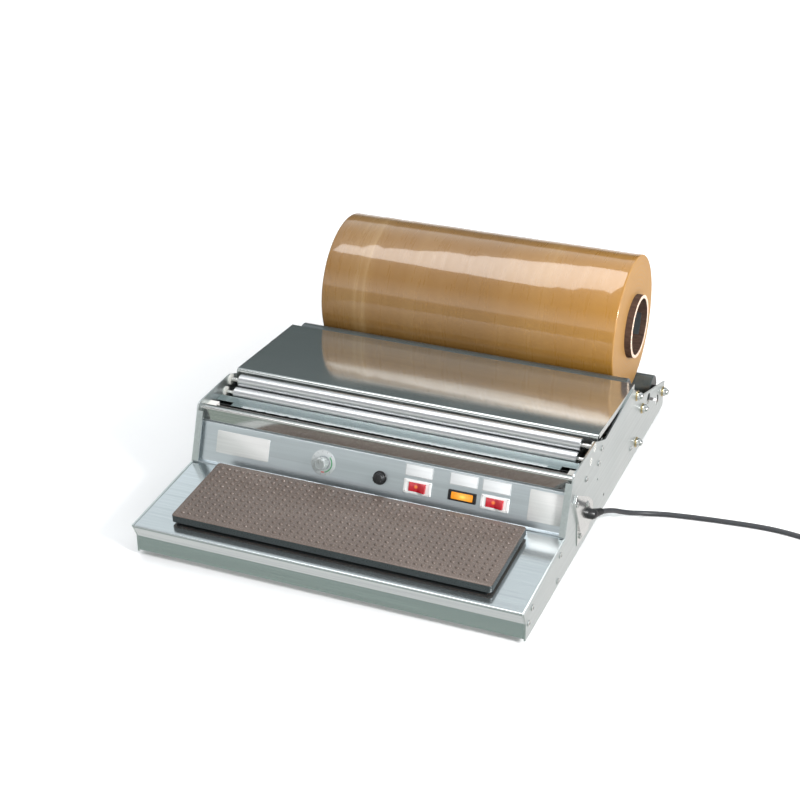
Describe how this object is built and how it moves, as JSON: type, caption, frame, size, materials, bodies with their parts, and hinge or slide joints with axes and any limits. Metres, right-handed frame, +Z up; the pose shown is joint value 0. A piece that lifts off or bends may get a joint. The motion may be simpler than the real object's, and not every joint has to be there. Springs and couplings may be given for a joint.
{
  "type": "hand stretch film wrapping machine",
  "caption": "Hand stretch wrapper: film roll on cradle rollers, guide rollers, heated cutter rod, hot sealing plate and control panel between two folded side plates",
  "frame": {"origin": "on the surface the machine stands on, under the middle of the machine's overall width and depth, measured without the mains cord, coil and plug", "axes": "+X runs to the right along the rollers as the operator sees the machine, +Y goes back from the operator to the film roll, +Z up"},
  "size_m": [0.8491, 0.6486, 0.2351],
  "materials": {
    "plate_steel": "satin",
    "deck_steel": "mirror polished",
    "cover_steel": "mirror polished",
    "panel_steel": "satin",
    "hot_plate_cover": "woven non-stick cover over aluminium",
    "heater": "silicone rubber",
    "black_steel": "black satin",
    "ceramic_white": "unglazed",
    "cutter_wire": "heat darkened",
    "guide_aluminium": "turned",
    "roller_grey": "grey sleeve",
    "roller_ends": "moulded",
    "shaft_steel": "ground",
    "bush_plastic": "moulded",
    "nut_steel": "plated",
    "screw_steel": "plated",
    "base_steel": "mill",
    "foot_rubber": "moulded",
    "film": "wound stretch film",
    "film_clear": "clear stretch film",
    "card": "wound board",
    "knob_plastic": "grey",
    "dial": "printed arcs",
    "black_plastic": "moulded",
    "white_plastic": "moulded",
    "rocker_red": "translucent",
    "lamp_amber": "translucent",
    "label_foil": "blank foil",
    "plate_foil": "blank label",
    "core_iron": "varnished laminations",
    "winding_tape": "tape",
    "wire_jacket": "insulated wire",
    "cord_rubber": "grey black jacket"
  },
  "bodies": {
    "frame": {"left_side_plate": "plate_steel", "right_side_plate": "plate_steel", "base_plate": "base_steel", "rear_crossbar": "base_steel", "feet": "foot_rubber", "foot_screws": "screw_steel", "front_deck": "deck_steel", "control_panel": "panel_steel", "fascia_rail": "deck_steel", "cutter_channel": "black_steel", "cutter_blocks": "ceramic_white", "cutter_rod": "cutter_wire", "film_rest_strip": "cover_steel", "top_cover": "cover_steel", "cover_brackets": "panel_steel", "hot_plate": "hot_plate_cover", "heater_mat": "heater", "hot_plate_tray": "black_steel", "plate_standoffs": "shaft_steel", "guide_bushes": "bush_plastic", "front_cradle_axle": "shaft_steel", "rear_cradle_axle": "shaft_steel", "film_guide_rod": "shaft_steel", "tie_rod": "shaft_steel", "axle_nuts": "nut_steel", "rod_nuts": "nut_steel", "side_screws": "screw_steel", "film_web": "film_clear", "thermostat_body": "black_plastic", "dial_ring": "dial", "fuse_holder": "black_plastic", "cutter_switch": "white_plastic", "plate_switch": "white_plastic", "lamp_bezel": "black_plastic", "lamp_lens": "lamp_amber", "switch_labels": "label_foil", "end_plates": "plate_foil", "transformer_core": "core_iron", "transformer_coil": "winding_tape", "terminal_block": "white_plastic", "wiring_loom": "wire_jacket", "cord_clamp": "panel_steel", "strain_relief": "cord_rubber", "mains_cord": "cord_rubber", "cord_coil": "cord_rubber", "plug": "cord_rubber"},
    "film_roll": {"film_winding": "film", "core_tube": "card"},
    "front_cradle_roller": {"front_cradle_tube": "roller_grey", "front_cradle_caps": "roller_ends"},
    "rear_cradle_roller": {"rear_cradle_tube": "roller_grey", "rear_cradle_caps": "roller_ends"},
    "front_guide_roller": {"front_guide_tube": "guide_aluminium", "front_guide_journals": "shaft_steel"},
    "rear_guide_roller": {"rear_guide_tube": "guide_aluminium", "rear_guide_journals": "shaft_steel"},
    "heat_knob": {"thermostat_knob": "knob_plastic"},
    "fuse_plug": {"fuse_cap": "black_plastic"},
    "cutter_key": {"cutter_rocker": "rocker_red"},
    "plate_key": {"plate_rocker": "rocker_red"}
  },
  "joints": [
    {"name": "film_unwind", "type": "hinge", "parent": "frame", "child": "film_roll", "pos_m": [0, 0.22934, 0.14009], "axis": [1, 0, 0], "continuous": true},
    {"name": "front_cradle_turn", "type": "hinge", "parent": "frame", "child": "front_cradle_roller", "pos_m": [0, 0.12366, 0.094], "axis": [1, 0, 0], "continuous": true},
    {"name": "rear_cradle_turn", "type": "hinge", "parent": "frame", "child": "rear_cradle_roller", "pos_m": [0, 0.26666, 0.031], "axis": [1, 0, 0], "continuous": true},
    {"name": "front_guide_turn", "type": "hinge", "parent": "frame", "child": "front_guide_roller", "pos_m": [0, -0.08238, 0.107], "axis": [1, 0, 0], "continuous": true},
    {"name": "rear_guide_turn", "type": "hinge", "parent": "frame", "child": "rear_guide_roller", "pos_m": [0, -0.06788, 0.118], "axis": [1, 0, 0], "continuous": true},
    {"name": "heat_setting", "type": "hinge", "parent": "frame", "child": "heat_knob", "pos_m": [-0.069, -0.15966, 0.08014], "axis": [0, -0.9426, 0.3338], "range_deg": [-270, 0]},
    {"name": "fuse_release", "type": "hinge", "parent": "frame", "child": "fuse_plug", "pos_m": [0.006, -0.161, 0.07637], "axis": [0, -0.9426, 0.3338], "range_deg": [0, 90]},
    {"name": "cutter_key_rock", "type": "hinge", "parent": "frame", "child": "cutter_key", "pos_m": [0.0545, -0.16183, 0.07402], "axis": [0, 0.3338, 0.9426], "range_deg": [0, 18]},
    {"name": "plate_key_rock", "type": "hinge", "parent": "frame", "child": "plate_key", "pos_m": [0.1515, -0.16183, 0.07402], "axis": [0, 0.3338, 0.9426], "range_deg": [0, 18]}
  ],
  "couplings": [
    {"joint": "front_cradle_turn", "follows": "film_unwind", "ratio": -4.75},
    {"joint": "rear_cradle_turn", "follows": "film_unwind", "ratio": -4.75}
  ]
}
